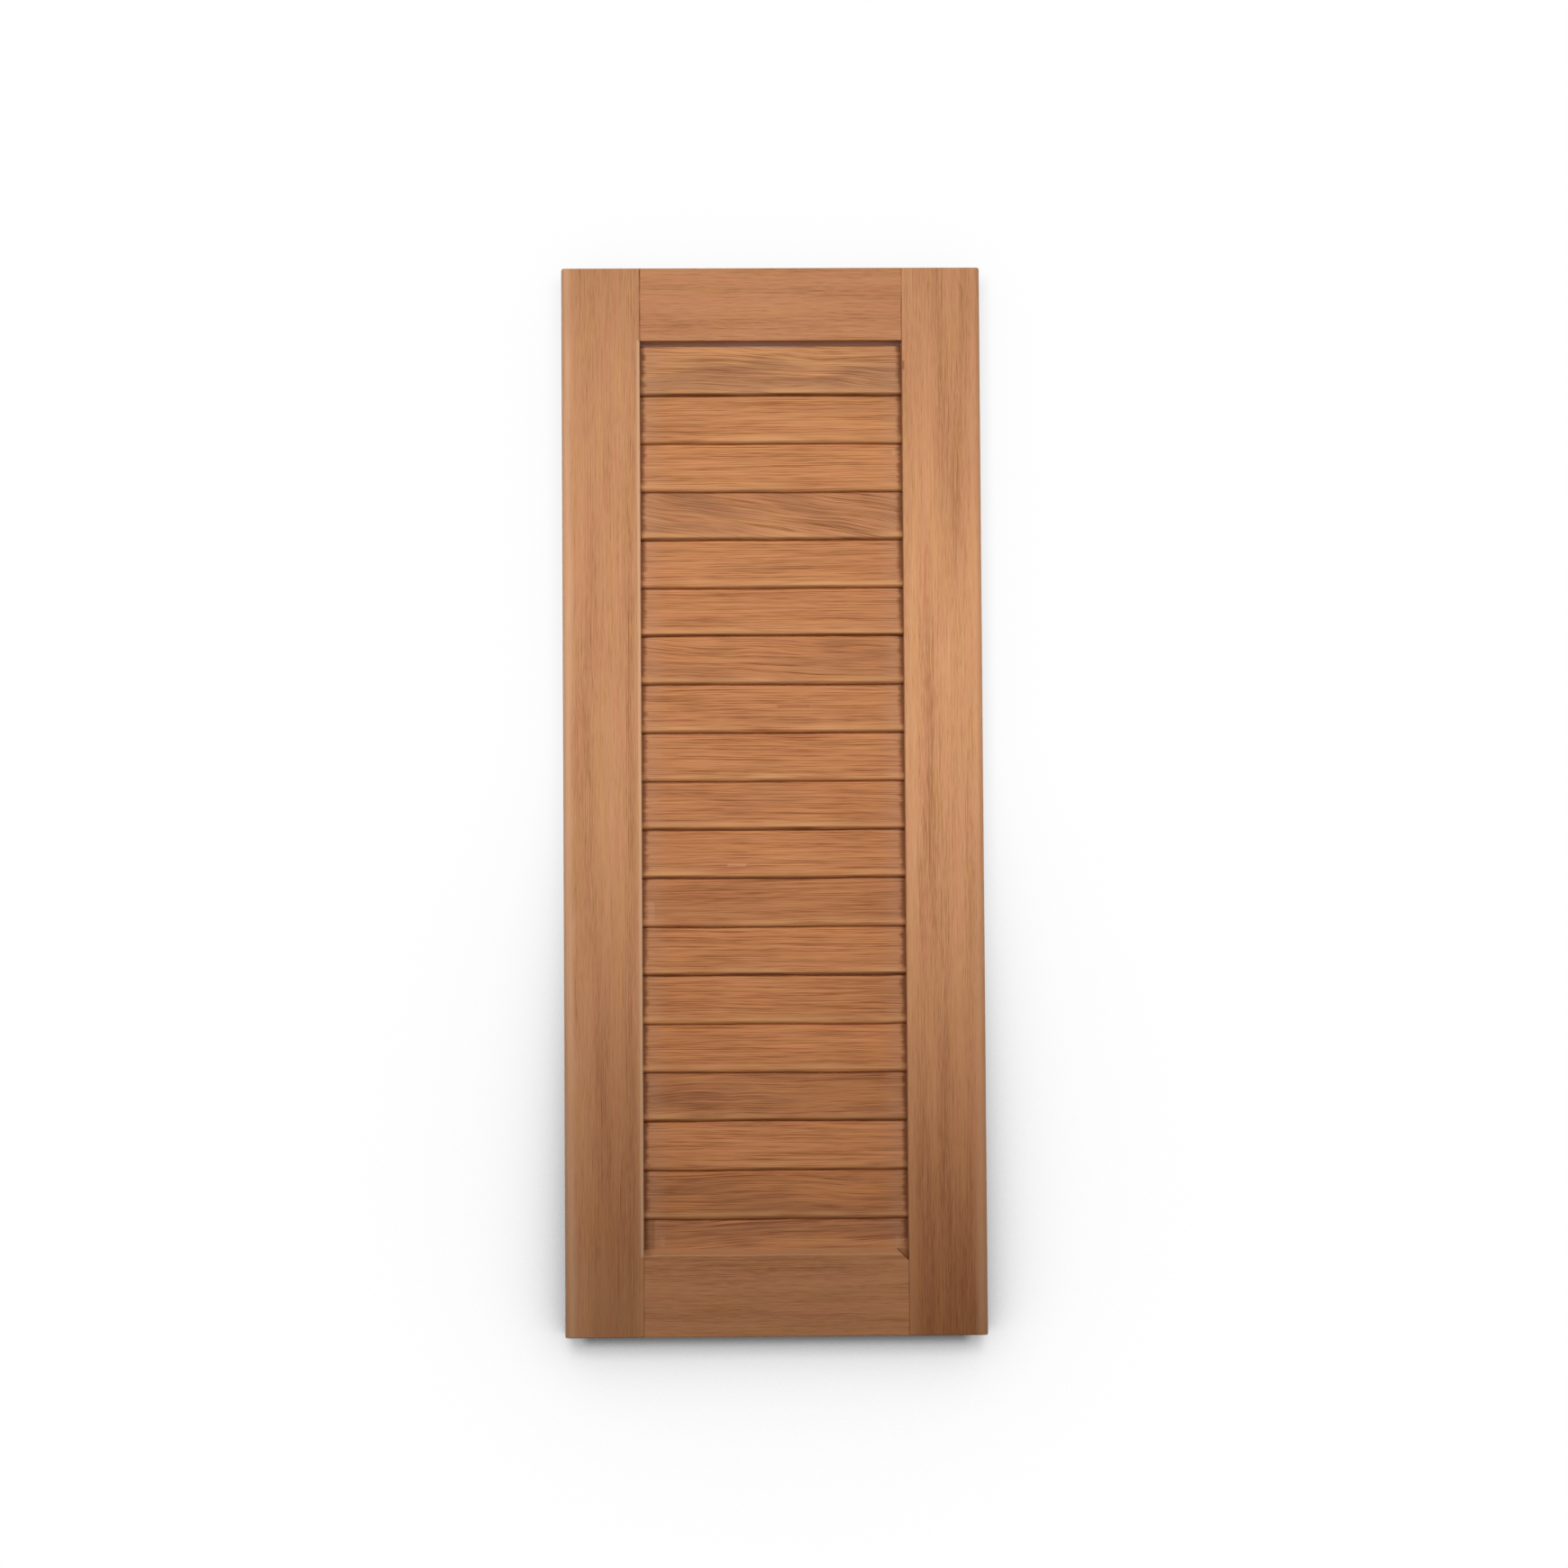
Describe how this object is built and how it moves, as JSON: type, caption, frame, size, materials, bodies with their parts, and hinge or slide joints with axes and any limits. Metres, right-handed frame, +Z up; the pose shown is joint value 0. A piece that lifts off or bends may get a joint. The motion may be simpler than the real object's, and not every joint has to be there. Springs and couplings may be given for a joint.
{
  "type": "louvred shutter panel",
  "caption": "Fixed-louvre wooden shutter panel: a frame of stiles and rails holding a stack of slats lapped with their lower edges forward, in unfinished red-brown softwood.",
  "frame": {"origin": "Middle of the panel's bottom edge, in the middle of its thickness", "axes": "+X across the panel to the viewer's right, +Y from the front face to the back face, +Z up along the stiles; the front faces -Y"},
  "size_m": [0.305, 0.027, 0.775],
  "materials": {
    "stile_wood": "unfinished red cedar, planed and sanded, grain upright",
    "rail_wood": "unfinished red cedar, planed and sanded, grain across",
    "slat_wood": "unfinished red cedar, planed, grain across, tone differs from slat to slat",
    "dowel_wood": "plain hardwood dowel"
  },
  "bodies": {
    "root": {"left_stile": "stile_wood", "right_stile": "stile_wood", "top_rail": "rail_wood", "bottom_rail": "rail_wood", "rail_dowels": "dowel_wood", "slat_01": "slat_wood", "slat_02": "slat_wood", "slat_03": "slat_wood", "slat_04": "slat_wood", "slat_05": "slat_wood", "slat_06": "slat_wood", "slat_07": "slat_wood", "slat_08": "slat_wood", "slat_09": "slat_wood", "slat_10": "slat_wood", "slat_11": "slat_wood", "slat_12": "slat_wood", "slat_13": "slat_wood", "slat_14": "slat_wood", "slat_15": "slat_wood", "slat_16": "slat_wood", "slat_17": "slat_wood", "slat_18": "slat_wood", "slat_19": "slat_wood"}
  },
  "joints": []
}
